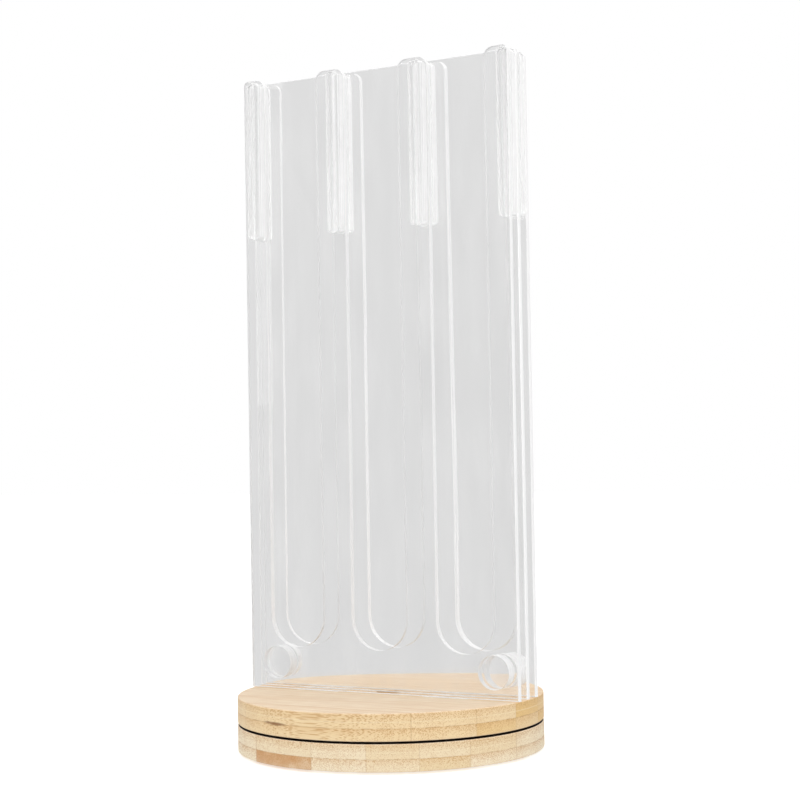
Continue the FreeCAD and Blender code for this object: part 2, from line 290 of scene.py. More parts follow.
@dataclass
class Copies:
    """Copies of one small part, laid out by a Geometry Nodes tree and made one plain mesh."""

    name: str
    prototype: Mesh
    materials: Sequence[Material]
    layout: Layout
    places: Sequence[Vector] = ()
    count: int = 1
    radius: float = 0.0
    first_angle: float = 0.0
    height: float = 0.0

    def tree(self) -> NodeTree:
        """Build the tree with its named inputs.

        Returns:
            A tree that ends in Realize Instances and Set Material.
        """
        group = bpy.data.node_groups.new(f"{self.name}_{self.layout.value}", "GeometryNodeTree")
        sockets = [("Geometry", "NodeSocketGeometry"), ("Prototype", "NodeSocketObject"),
                   ("Count", "NodeSocketInt"), ("Circle Radius", "NodeSocketFloat"),
                   ("First Angle", "NodeSocketFloat"), ("Height", "NodeSocketFloat"),
                   ("Face Material", "NodeSocketMaterial"), ("Cut Material", "NodeSocketMaterial")]
        for name, kind in sockets:
            group.interface.new_socket(name=name, in_out="INPUT", socket_type=kind)
        group.interface.new_socket(name="Geometry", in_out="OUTPUT", socket_type="NodeSocketGeometry")
        given = add_node(group, "NodeGroupInput").outputs
        part = add_node(group, "GeometryNodeObjectInfo", {"Object": given["Prototype"]})
        if self.layout is Layout.AT_PLACES:
            spread: dict[str, Any] = {"Points": given["Geometry"]}
        else:
            circle = add_node(group, "GeometryNodeMeshCircle",
                              {"Vertices": given["Count"], "Radius": given["Circle Radius"]})
            spin = add_node(group, "ShaderNodeCombineXYZ", {"Z": given["First Angle"]})
            lift = add_node(group, "ShaderNodeCombineXYZ", {"Z": given["Height"]})
            points = add_node(group, "GeometryNodeTransform",
                              {"Geometry": circle, "Rotation": spin, "Translation": lift})
            index = add_node(group, "GeometryNodeInputIndex")
            turns = add_node(group, "ShaderNodeMath", {0: index, 1: given["Count"]}, operation="DIVIDE")
            angle = add_node(group, "ShaderNodeMath", {0: turns, 1: 2 * math.pi, 2: given["First Angle"]},
                             operation="MULTIPLY_ADD")
            spread = {"Points": points, "Rotation": add_node(group, "ShaderNodeCombineXYZ", {"Z": angle})}
        copies = add_node(group, "GeometryNodeInstanceOnPoints",
                          {"Instance": part.outputs["Geometry"], **spread})
        real = add_node(group, "GeometryNodeRealizeInstances", {"Geometry": copies})
        cut = add_node(group, "GeometryNodeInputNamedAttribute", {"Name": "cut"}, data_type="BOOLEAN")
        faces = add_node(group, "GeometryNodeSetMaterial",
                         {"Geometry": real, "Material": given["Face Material"]})
        sides = add_node(group, "GeometryNodeSetMaterial",
                         {"Geometry": faces, "Selection": cut, "Material": given["Cut Material"]})
        add_node(group, "NodeGroupOutput", {0: sides})
        return group

    def build(self) -> Object:
        """Lay the copies out and keep the result as a plain mesh.

        Returns:
            The object, with no modifier left on it.
        """
        source = new_object(f"{self.name}_prototype", self.prototype)
        holder = bpy.data.meshes.new(self.name)
        holder.from_pydata([tuple(place) for place in self.places], [], [])
        piece = new_object(self.name, holder)
        modifier = piece.modifiers.new("copies", "NODES")
        modifier.node_group = self.tree()
        wanted = {"Prototype": source, "Count": self.count, "Circle Radius": self.radius * MM,
                  "First Angle": math.radians(self.first_angle), "Height": self.height * MM,
                  "Face Material": self.materials[0], "Cut Material": self.materials[-1]}
        for socket in modifier.node_group.interface.items_tree:
            if socket.in_out == "INPUT" and socket.name in wanted:
                modifier[socket.identifier] = wanted[socket.name]
        graph = bpy.context.evaluated_depsgraph_get()
        mesh = bpy.data.meshes.new_from_object(piece.evaluated_get(graph), depsgraph=graph)
        piece.modifiers.clear()
        piece.data = mesh
        mesh.name = self.name
        bpy.data.meshes.remove(holder)
        bpy.data.objects.remove(source)
        return piece


# --- Finishes ---
def new_material(name: str) -> tuple[Material, NodeTree, Node]:
    """Make a material with a Principled shader.

    Args:
        name: Name of the finish.

    Returns:
        The material, its tree and its Principled node.
    """
    material = bpy.data.materials.new(name)
    material.use_nodes = True
    tree = material.node_tree
    return material, tree, tree.nodes["Principled BSDF"]


@dataclass(frozen=True)
class CastAcrylicFace:
    """Face of clear cast acrylic (PMMA) sheet, as it leaves the mould under its film.

    To the eye it is almost nothing: a faint grey and the reflections of a very flat surface, with a
    trace of haze where it has been wiped.  Where it is cemented, the haze is thicker and streaky.
    """

    name: str = "cast_acrylic_face"
    tint: str = "#FDFDFD"
    ior: float = 1.49
    haze: float = 0.025                     # share of milky surface in the streaks
    roughness: float = 0.012
    streak_width: float = 9.0
    streak_length: float = 40.0
    clear_share: float = 0.42               # of the noise that leaves the surface clear
    streak_edge: float = 0.25               # softness of a streak's edge, in the noise's own measure
    haze_roughness: float = 0.8

    def build(self) -> Material:
        """Make the clear sheet with its streaks of haze, drawn along Z."""
        material, tree, shader = new_material(self.name)
        add = partial(add_node, tree)
        place = add("ShaderNodeTexCoord").outputs["Object"]
        fine, long = 1 / (self.streak_width * MM), 1 / (self.streak_length * MM)
        drawn = add("ShaderNodeVectorMath", {0: place, 1: (fine, fine, long)}, operation="MULTIPLY")
        streaks = add("ShaderNodeTexNoise", {"Vector": drawn, "Scale": 1.0, "Detail": 3.0})
        limits = (self.clear_share, self.clear_share + self.streak_edge, 0.0, self.haze)
        milky = add("ShaderNodeMapRange", within(streaks, limits))
        clear = add("ShaderNodeMath", {0: 1.0, 1: milky}, operation="SUBTRACT")
        rough = add("ShaderNodeMath", {0: milky, 1: self.haze_roughness, 2: self.roughness},
                    operation="MULTIPLY_ADD")
        feed(tree, shader, {"Base Color": linear(self.tint), "IOR": self.ior, "Transmission Weight": clear,
                            "Roughness": rough})
        return material


@dataclass(frozen=True)
class LaserCutEdge:
    """Laser-cut edge of clear acrylic: part fire-polished, part frosted by fine marks across the sheet.

    It shows as a bright, slightly milky band, brightened by a painted glow that stands in for the light
    it gathers from the sheet, with streaks along the cut where the beam has left the depth of its focus.
    """

    name: str = "laser_cut_edge"
    tint: str = "#EDEDED"
    ior: float = 1.49
    clear: float = 0.1
    roughness: float = 0.28
    painted_edge_glow: float = 0.12               # painted glow: Emission standing in for light that runs inside the sheet and leaves by its edges
    # The marks of a real cut are about 0.2 mm apart; they are drawn twice as coarse so that they show.
    mark_spacing: float = 0.4
    streak_width: float = 0.55
    streak_length: float = 60.0
    mark_scale_across: float = 60.0         # so small that a mark runs the whole way across the sheet
    mark_share: float = 0.35
    uneven_rough: tuple[float, float] = (0.5, 1.5)
    uneven_clear: tuple[float, float] = (1.6, 0.4)
    bump_strength: float = 0.4
    bump_depth: float = 0.08

    def build(self) -> Material:
        """Make the milky edge, its marks and streaks following the cut."""
        material, tree, shader = new_material(self.name)
        add = partial(add_node, tree)
        along = add("ShaderNodeUVMap", uv_map="along_cut")
        crossed = add("ShaderNodeVectorMath", {0: along,
                                               1: (1 / (self.mark_spacing * MM), self.mark_scale_across,
                                                   1.0)}, operation="MULTIPLY")
        marks = add("ShaderNodeTexNoise", {"Vector": crossed, "Scale": 1.0, "Detail": 2.0})
        drawn = add("ShaderNodeVectorMath", {0: along,
                                             1: (1 / (self.streak_length * MM),
                                                 1 / (self.streak_width * MM), 1.0)}, operation="MULTIPLY")
        streaks = add("ShaderNodeTexNoise", {"Vector": drawn, "Scale": 1.0, "Detail": 3.0})
        height = add("ShaderNodeMath", {0: marks, 1: self.mark_share, 2: streaks}, operation="MULTIPLY_ADD")
        least, most = (self.roughness * share for share in self.uneven_rough)
        rough = add("ShaderNodeMapRange", within(streaks, (0.3, 0.7, least, most)))
        most, least = (self.clear * share for share in self.uneven_clear)
        clear = add("ShaderNodeMapRange", within(streaks, (0.35, 0.65, most, least)))
        bump = add("ShaderNodeBump", {"Height": height, "Strength": self.bump_strength,
                                      "Distance": self.bump_depth * MM})
        # The Emission is a painted glow on the edge, standing in for light piped out of the sheet
        feed(tree, shader, {"Base Color": linear(self.tint), "IOR": self.ior, "Transmission Weight": clear,
                            "Roughness": rough, "Normal": bump, "Emission Color": linear(self.tint),
                            "Emission Strength": self.painted_edge_glow})
        return material


@dataclass(frozen=True)
class Grain:
    """Noise drawn out along the grain of a board."""

    size: float                             # across the grain, in millimetres
    stretch: float                          # how many times longer it is along the grain
    detail: float = 2.0
    roughness: float = 0.5


@dataclass(frozen=True)
class LaminatedBamboo:
    """Flat-pressed bamboo board: two plies of strips, smoothed by sanding and clear-oiled.

    Each strip has its own straw tone.  Its fibre bundles show as lines where a face runs along them
    and as dots where the rim cuts across them, and they crowd and darken towards the side of the strip
    that was the skin of the cane.  Thin glue lines part the strips and the plies.  The flat faces are
    paler than the rim, partly from taking up less oil and partly as a painted sheen, and the face in the
    seam between the discs is painted near-black as painted shade.
    """

    name: str
    bottom: float                           # heights of the board's faces
    top: float
    grain_degrees: float                    # direction of the strips from +X
    strip_offset: float                     # a glue line between strips, measured across the grain
    seed: float
    seam_face: float                        # height of the face in the seam between the discs
    pale: str = "#F3DDB6"
    deep: str = "#E8C484"
    oiled_face_and_sheen: str = "#F9E8D5"                 # the faces, paler than the rim: partly less oil taken up, partly a painted sheen
    fibre: str = "#B9833F"
    streak: str = "#D8AC74"
    glue: str = "#A97A45"
    light: str = "#FBEBCB"
    steamed: str = "#C2803A"
    scorch: str = "#7A4A1C"
    # painted shade: near-black for the face in the seam between the discs, standing in for the shade in the
    # gap
    painted_seam_shade: str = "#2A1A10"
    skin_darkening: float = 0.3
    steamed_strip: float | None = None      # number of a strip of darker steamed bamboo, in the lower ply
    scorched_place: tuple[float, float] | None = None   # a scorched node of the cane, at the ply line
    strip_width: float = 24.0
    ply_share: float = 0.46                 # height of the lower ply as a share of the board
    bundle_spacing: float = 0.5
    bundle_stretch: float = 30.0
    bundle_scatter: float = 0.8
    line_width: float = 0.3
    streaks: Grain = Grain(3.0, 40.0, 3.0, 0.6)
    fibres: Grain = Grain(0.45, 60.0)
    patches: Grain = Grain(2.0, 4.0)
    mottling: Grain = Grain(7.0, 3.0, 3.0)
    oiled_face_and_sheen_share: float = 0.55
    streak_share: Limits = (0.45, 0.72, 0.0, 0.55)
    streaks_by_face: Limits = (0.0, 1.0, 0.22, 1.0)     # from the rim to the faces
    fibre_share: Limits = (0.4, 0.75, 0.0, 0.22)
    bundle_size: Limits = (0.0, 1.0, 0.34, 0.56)        # from the pith side to the skin side
    bundle_share: Limits = (0.0, 0.2, 0.0, 0.62)
    bundles_by_face: Limits = (0.0, 1.0, 1.0, 0.35)
    steam_share: Limits = (0.35, 0.65, 0.4, 0.72)
    pith_depth: float = 0.31                            # below the top, as a share of the board
    pith_share: float = 0.4
    strip_line_share: float = 0.32
    ply_line_share: float = 0.9
    ply_line_breaks: Limits = (0.4, 0.65, 0.12, 0.8)
    scorch_scale: tuple[float, float, float] = (120.0, 120.0, 1000.0)
    scorch_raggedness: float = 1.4
    scorch_share: Limits = (1.2, 1.7, 0.75, 0.0)
    roughness: Limits = (0.0, 1.0, 0.38, 0.54)
    relief: float = 0.12

    def drawn_out(self, tree: NodeTree, grain: Node, size: float, stretch: float) -> Node:
        """Scale coordinates so that a mark is size across the grain and stretch times longer along it."""
        across = 1 / (size * MM)
        moved = tuple(self.seed * factor for factor in (7.0, 3.0, 5.0))
        return add_node(tree, "ShaderNodeVectorMath",
                        {0: grain, 1: (across / stretch, across, across), 2: moved}, operation="MULTIPLY_ADD")

    def figure(self, tree: NodeTree, grain: Node, drawn: Grain) -> Node:
        """Draw one of the wood's figures along the grain."""
        return add_node(tree, "ShaderNodeTexNoise",
                        {"Vector": self.drawn_out(tree, grain, drawn.size, drawn.stretch), "Scale": 1.0,
                         "Detail": drawn.detail, "Roughness": drawn.roughness})

    def thin_line(self, tree: NodeTree, height: NodeSocket, level: float, strength: float) -> Node:
        """Return a soft line of the board's line width at one height."""
        off = add_node(tree, "ShaderNodeMath", {0: height, 1: level * MM}, operation="SUBTRACT")
        away = add_node(tree, "ShaderNodeMath", {0: off}, operation="ABSOLUTE")
        return add_node(tree, "ShaderNodeMapRange", within(away, (0.0, self.line_width * MM, strength, 0.0)))

    def scorched(self, tree: NodeTree, place: NodeSocket, patches: Node, height: float) -> Node:
        """Return the share of scorching round the scorched node.

        Args:
            tree: The material's tree.
            place: Object coordinates.
            patches: The figure that makes its edge ragged.
            height: Its height, in millimetres.

        Returns:
            A node that gives 0 away from the scorched node.
        """
        middle = (self.scorched_place[0] * MM, self.scorched_place[1] * MM, height * MM)
        away = add_node(tree, "ShaderNodeVectorMath", {0: place, 1: middle}, operation="SUBTRACT")
        flattened = add_node(tree, "ShaderNodeVectorMath", {0: away, 1: self.scorch_scale},
                             operation="MULTIPLY")
        far = add_node(tree, "ShaderNodeVectorMath", {0: flattened}, operation="LENGTH")
        ragged = add_node(tree, "ShaderNodeMath", {0: patches, 1: self.scorch_raggedness, 2: far},
                          operation="MULTIPLY_ADD")
        return add_node(tree, "ShaderNodeMapRange", within(ragged, self.scorch_share))

    def build(self) -> Material:
        """Make the board."""
        material, tree, shader = new_material(self.name)
        add = partial(add_node, tree)
        thickness = self.top - self.bottom
        ply_level = self.bottom + self.ply_share * thickness
        place = add("ShaderNodeTexCoord").outputs["Object"]
        grain = add("ShaderNodeVectorRotate", {"Vector": place, "Angle": -math.radians(self.grain_degrees)},
                    rotation_type="Z_AXIS")
        axes = add("ShaderNodeSeparateXYZ", {0: grain}).outputs
        streaks = self.figure(tree, grain, self.streaks)
        fibres = self.figure(tree, grain, self.fibres)
        patches = self.figure(tree, grain, self.patches)
        normal = add("ShaderNodeNewGeometry").outputs["True Normal"]
        facing = add("ShaderNodeSeparateXYZ", {0: normal}).outputs["Z"]
        flat = add("ShaderNodeMath", {0: facing}, operation="ABSOLUTE")
        steep = add("ShaderNodeMath", {0: 1.0, 1: flat}, operation="SUBTRACT")

        # Which strip and which ply a point is in, and each one's own tone
        strips = add("ShaderNodeMath", {0: axes["Y"], 1: 1 / (self.strip_width * MM),
                                        2: -self.strip_offset / self.strip_width}, operation="MULTIPLY_ADD")
        strip = add("ShaderNodeMath", {0: strips}, operation="FLOOR")
        upper = add("ShaderNodeMath", {0: axes["Z"], 1: ply_level * MM}, operation="GREATER_THAN")
        block = add("ShaderNodeCombineXYZ", {"X": strip, "Y": upper, "Z": self.seed})
        chance = add("ShaderNodeTexWhiteNoise", {"Vector": block}, noise_dimensions="3D")
        # Painted sheen in part: the flat faces are mixed towards a paler tone that stands in for their sheen
        # as well as their lighter oiling
        oiled_face_and_sheen = add("ShaderNodeMath", {0: flat, 1: self.oiled_face_and_sheen_share}, operation="MULTIPLY")
        layers: list[tuple[Any, str]] = [(chance.outputs["Value"], self.deep), (oiled_face_and_sheen, self.oiled_face_and_sheen)]

        # How far a point is through its ply, from the pith side to the skin side of the cane
        through, below = [add("ShaderNodeMapRange", within(axes["Z"], (low * MM, high * MM, 0.0, 1.0)))
                          for low, high in ((ply_level, self.top), (self.bottom, ply_level))]
        skin = add("ShaderNodeMix", {"Factor": upper, "A": below, "B": through}, data_type="FLOAT")
        outer = add("ShaderNodeMapRange", within(skin, (0.45, 1.0, 0.0, self.skin_darkening)))
        layers.append((add("ShaderNodeMath", {0: outer, 1: steep}, operation="MULTIPLY"), self.streak))
        if self.steamed_strip is not None:
            same = add("ShaderNodeMath", {0: strip, 1: self.steamed_strip, 2: 0.1}, operation="COMPARE")
            low_ply = add("ShaderNodeMath", {0: 1.0, 1: upper}, operation="SUBTRACT")
            both = add("ShaderNodeMath", {0: same, 1: low_ply}, operation="MULTIPLY")
            mottled = self.figure(tree, grain, self.mottling)
            depth = add("ShaderNodeMapRange", within(mottled, self.steam_share))
            layers.append((add("ShaderNodeMath", {0: both, 1: depth}, operation="MULTIPLY"), self.steamed))

        # Broad streaks on the faces; fine fibres and bundles everywhere
        bundles = add("ShaderNodeTexVoronoi", {"Vector": self.drawn_out(tree, grain, self.bundle_spacing,
                                                                        self.bundle_stretch), "Scale": 1.0,
                                               "Randomness": self.bundle_scatter})
        size = add("ShaderNodeMapRange", within(skin, self.bundle_size))
        near = add("ShaderNodeMath", {0: size, 1: bundles}, operation="SUBTRACT")
        for figure, share, by_face, colour in (
                (streaks, self.streak_share, self.streaks_by_face, self.streak),
                (fibres, self.fibre_share, None, self.fibre),
                (near, self.bundle_share, self.bundles_by_face, self.fibre)):
            amount = add("ShaderNodeMapRange", within(figure, share))
            if by_face:
                reach = add("ShaderNodeMapRange", within(flat, by_face))
                amount = add("ShaderNodeMath", {0: amount, 1: reach}, operation="MULTIPLY")
            layers.append((amount, colour))

        # Pale line of pith, glue lines between strips and between plies, and a scorched node
        pith = self.thin_line(tree, axes["Z"], self.top - self.pith_depth * thickness, self.pith_share)
        seam = add("ShaderNodeMath", {0: strips, 1: 0.5}, operation="PINGPONG")
        reach = self.line_width / self.strip_width
        strip_line = add("ShaderNodeMapRange", within(seam, (0.0, reach, self.strip_line_share, 0.0)))
        unbroken = self.thin_line(tree, axes["Z"], ply_level, self.ply_line_share)
        breaks = add("ShaderNodeMapRange", within(patches, self.ply_line_breaks))
        ply_line = add("ShaderNodeMath", {0: unbroken, 1: breaks}, operation="MULTIPLY")
        lines = add("ShaderNodeMath", {0: strip_line, 1: ply_line}, operation="MAXIMUM")
        layers += [(pith, self.light), (lines, self.glue)]
        if self.scorched_place is not None:
            layers.append((self.scorched(tree, place, patches, ply_level), self.scorch))

        # Painted shade: the face in the seam between the discs is painted near-black for the shade in the gap
        level = add("ShaderNodeMath", {0: axes["Z"], 1: self.seam_face * MM, 2: 0.05 * MM},
                    operation="COMPARE")
        layers.append((add("ShaderNodeMath", {0: level, 1: flat}, operation="MULTIPLY"), self.painted_seam_shade))
        tone: Any = linear(self.pale)
        for share, colour in layers:
            tone = add("ShaderNodeMix", {"Factor": share, "A": tone, "B": linear(colour)}, data_type="RGBA")
        grainy = add("ShaderNodeMath", {0: fibres, 1: lines}, operation="SUBTRACT")
        bump = add("ShaderNodeBump", {"Height": grainy, "Strength": 0.25, "Distance": self.relief * MM})
        rough = add("ShaderNodeMapRange", within(fibres, self.roughness))
        feed(tree, shader, {"Base Color": tone, "Roughness": rough, "Normal": bump, "IOR": 1.5})
        return material


@dataclass(frozen=True)
class TurnedMetal:
    """Turned or drawn metal part with fine tool marks round its axis, plated or bare."""

    name: str
    colour: str
    stain: str
    roughness: float
    # Tool marks are about 0.1 mm apart; they are drawn coarser so that they show.
    mark_spacing: float = 0.35
    mark_depth: float = 0.03
    wave_share: int = 20                    # a wave of this node is a twentieth of its scale
    stain_scale: float = 260.0
    uneven: tuple[float, float] = (0.7, 1.3)

    def build(self) -> Material:
        """Make the metal with its turning marks and slight staining."""
        material, tree, shader = new_material(self.name)
        add = partial(add_node, tree)
        place = add("ShaderNodeTexCoord").outputs["Object"]
        marks = add("ShaderNodeTexWave", {"Vector": place,
                                          "Scale": 1 / (self.mark_spacing * MM * self.wave_share),
                                          "Distortion": 0.4, "Detail": 2.0}, wave_type="RINGS",
                    rings_direction="Z")
        stain = add("ShaderNodeTexNoise", {"Vector": place, "Scale": self.stain_scale, "Detail": 4.0})
        colour = add("ShaderNodeMix", {"Factor": stain, "A": linear(self.colour), "B": linear(self.stain)},
                     data_type="RGBA")
        least, most = (self.roughness * share for share in self.uneven)
        rough = add("ShaderNodeMapRange", within(stain, (0.0, 1.0, least, most)))
        bump = add("ShaderNodeBump", {"Height": marks, "Strength": 0.25, "Distance": self.mark_depth * MM})
        feed(tree, shader, {"Base Color": colour, "Metallic": 1.0, "Roughness": rough, "Normal": bump})
        return material


@dataclass(frozen=True)
class MouldedPlastic:
    """Moulded plastic or rubber with a fine even texture."""

    name: str
    colour: str
    shade: str
    roughness: float
    ior: float = 1.53
    grain_size: float = 0.4
    grain_depth: float = 0.05
    cloud_scale: float = 120.0
    uneven: tuple[float, float] = (0.85, 1.15)

    def build(self) -> Material:
        """Make the moulded surface."""
        material, tree, shader = new_material(self.name)
        add = partial(add_node, tree)
        place = add("ShaderNodeTexCoord").outputs["Object"]
        grain = add("ShaderNodeTexNoise", {"Vector": place, "Scale": 1 / (self.grain_size * MM),
                                           "Detail": 3.0})
        cloud = add("ShaderNodeTexNoise", {"Vector": place, "Scale": self.cloud_scale, "Detail": 2.0})
        colour = add("ShaderNodeMix", {"Factor": cloud, "A": linear(self.colour), "B": linear(self.shade)},
                     data_type="RGBA")
        least, most = (self.roughness * share for share in self.uneven)
        rough = add("ShaderNodeMapRange", within(grain, (0.0, 1.0, least, most)))
        bump = add("ShaderNodeBump", {"Height": grain, "Strength": 0.3, "Distance": self.grain_depth * MM})
        feed(tree, shader, {"Base Color": colour, "IOR": self.ior, "Roughness": rough, "Normal": bump})
        return material


# --- Acrylic rack ---
@dataclass
class AcrylicPlates:
    """The two slotted combs and the plain panel between them, with tabs in the upper disc."""

    face: Material
    cut: Material
    column_pitch: float = 47.2
    slot_width: float = 30.8
    slot_floor: float = 21.0
    finger_round: float = 5.0
    outer_round: float = 2.5
    panel_round: float = 0.8
    tab_length: float = 24.0
    tab_centre: float = 36.0
    arris: float = 0.35
    # The sawn wood is never quite flat; this gap keeps the plates' lower edges apart from it.
    foot_gap: float = 0.08
    foot: float = field(init=False)
    top: float = field(init=False)
    half_width: float = field(init=False)
    tab_bottom: float = field(init=False)

    def __post_init__(self) -> None:
        """Read the plates' size from the frame."""
        low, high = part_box("centre_panel")
        self.half_width = high.x / MM
        self.top = high.z / MM
        self.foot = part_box("upper_disc")[1].z / MM + self.foot_gap
        self.tab_bottom = low.z / MM

    def tab_outline(self, middle: float) -> list[Point]:
        """Draw one tab, from just under the plate's lower edge to its own end."""
        half = self.tab_length / 2
        top = self.foot - self.foot_gap / 2
        return [(middle - half, top), (middle + half, top), (middle + half, self.tab_bottom),
                (middle - half, self.tab_bottom)]

    def outline(self, corner: float, slotted: bool, arc_step: float = 7.5) -> list[Point]:
        """Draw one plate above the disc.

        Args:
            corner: Radius of its upper corners.
            slotted: True for fingers with round tops between slots with round floors.
            arc_step: Turn of the arcs from point to point, in degrees.

        Returns:
            The closed outline.
        """
        slot = self.slot_width / 2
        finger = self.finger_round
        edge = self.half_width - corner
        drawn = Outline(arc_step)
        drawn.arc(-edge, self.top - corner, corner, 180, 90)
        for column in (-1, 0, 1) if slotted else ():
            x = column * self.column_pitch
            drawn.arc(x - slot - finger, self.top - finger, finger, 90, 0)
            drawn.arc(x, self.foot - self.foot_gap + self.slot_floor + slot, slot, 180, 360)
            drawn.arc(x + slot + finger, self.top - finger, finger, 180, 90)
        drawn.arc(edge, self.top - corner, corner, 90, 0)
        return drawn.points + [(self.half_width, self.foot), (-self.half_width, self.foot)]

    def plate(self, name: str, outline: Sequence[Point], thickness: float) -> Mesh:
        """Cut one plate and its tabs.

        The plate's lower edge runs on over the tabs, as a glued shoulder catches the light along its
        whole length.

        Args:
            name: Name of the mesh.
            outline: Outline of the plate above the disc.
            thickness: Thickness of the sheet, in millimetres.

        Returns:
            One mesh about y = 0.
        """
        shape = bmesh.new()
        for part in (outline, self.tab_outline(-self.tab_centre), self.tab_outline(self.tab_centre)):
            sheet = cut_sheet(name, part, thickness, self.arris)
            shape.from_mesh(sheet)
            bpy.data.meshes.remove(sheet)
        return mesh_from(name, shape)

    def build(self) -> list[Object]:
        """Make the three plates where the frame has them."""
        pieces = []
        comb = self.outline(self.outer_round, slotted=True)
        panel = self.outline(self.panel_round, slotted=False, arc_step=22.5)
        for node, outline in (("front_comb", comb), ("centre_panel", panel), ("rear_comb", comb)):
            mesh = self.plate(f"{node}_sheet", outline, size_of(node)[1])
            mesh.transform(Matrix.Translation((0, middle_of(node).y, 0)))
            piece = new_object(f"{node}_sheet", mesh, (self.face, self.cut))
            let_light_through(piece)
            pieces.append(finish_piece(piece, "rack", [node]))
        return pieces


@dataclass
class AcrylicSpacers:
    """Strips at the tops of the fingers and round spacers at the lower corners."""

    face: Material
    cemented: Material
    cut: Material
    strip_cut: Material
    strip_round: float = 2.5
    spacer_arris: float = 0.4
    # Solvent-glued joints keep a film of air here and there; a hair's gap lets each spacer show.
    glue_gap: float = 0.05

    def strip(self) -> Mesh:
        """Make one round-cornered strip about the origin."""
        width, depth, length = size_of("front_strip_2")
        x, z = width / 2 - self.strip_round, length / 2 - self.strip_round
        outline = Outline(arc_step=15.0)
        for corner, (across, along) in enumerate(((-x, z), (x, z), (x, -z), (-x, -z))):
            first = 180 - 90 * corner
            outline.arc(across, along, self.strip_round, first, first - 90)
        return cut_sheet("strip", outline.points[:-1], depth - 2 * self.glue_gap, self.spacer_arris)

    def disc(self) -> Mesh:
        """Make one round spacer about the origin."""
        width, depth, _ = size_of("front_round_left")
        outline = Outline(arc_step=6.0)
        outline.arc(0, 0, width / 2, 360, 0)
        return cut_sheet("round", outline.points[:-1], depth - 2 * self.glue_gap, self.spacer_arris)

    def build(self) -> list[Object]:
        """Lay out the eight strips and the four round spacers."""
        strips = [f"{side}_strip_{n}" for side in ("front", "rear") for n in range(1, 5)]
        rounds = [f"{side}_round_{end}" for side in ("front", "rear") for end in ("left", "right")]
        pieces = []
        for name, part, finishes, nodes in (
                ("finger_strips", self.strip(), (self.cemented, self.strip_cut), strips),
                ("corner_rounds", self.disc(), (self.face, self.cut), rounds)):
            places = [middle_of(node) for node in nodes]
            piece = Copies(name, part, finishes, Layout.AT_PLACES, places).build()
            let_light_through(piece)
            pieces.append(finish_piece(piece, "rack", nodes))
        return pieces


# --- Turntable ---
@dataclass
class BambooDiscs:
    """The two bamboo discs, kept as the CAD has them and given their grain."""

    upper_grain: float = 0.0
    upper_offset: float = 12.0
    lower_grain: float = -54.2
    lower_offset: float = 5.0
    steamed_strip: float = -3.0
    scorched_place: tuple[float, float] = (-20.4, -72.2)

    def faces_of(self, node: str) -> tuple[float, float]:
        """Return the heights of a disc's lower and upper faces, in millimetres."""
        low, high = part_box(node)
        return low.z / MM, high.z / MM

    def build(self) -> None:
        """Dress both discs."""
        upper = LaminatedBamboo("bamboo_upper", *self.faces_of("upper_disc"), self.upper_grain,
                                self.upper_offset, seed=2.0, seam_face=self.faces_of("upper_disc")[0],
                                scorched_place=self.scorched_place)
        lower = LaminatedBamboo("bamboo_lower", *self.faces_of("lower_disc"), self.lower_grain,
                                self.lower_offset, seed=5.0, seam_face=self.faces_of("lower_disc")[1],
                                pale="#F6E8CC", deep="#EBD4A9", steamed_strip=self.steamed_strip)
        dress("upper_disc", upper.build())
        dress("lower_disc", lower.build())


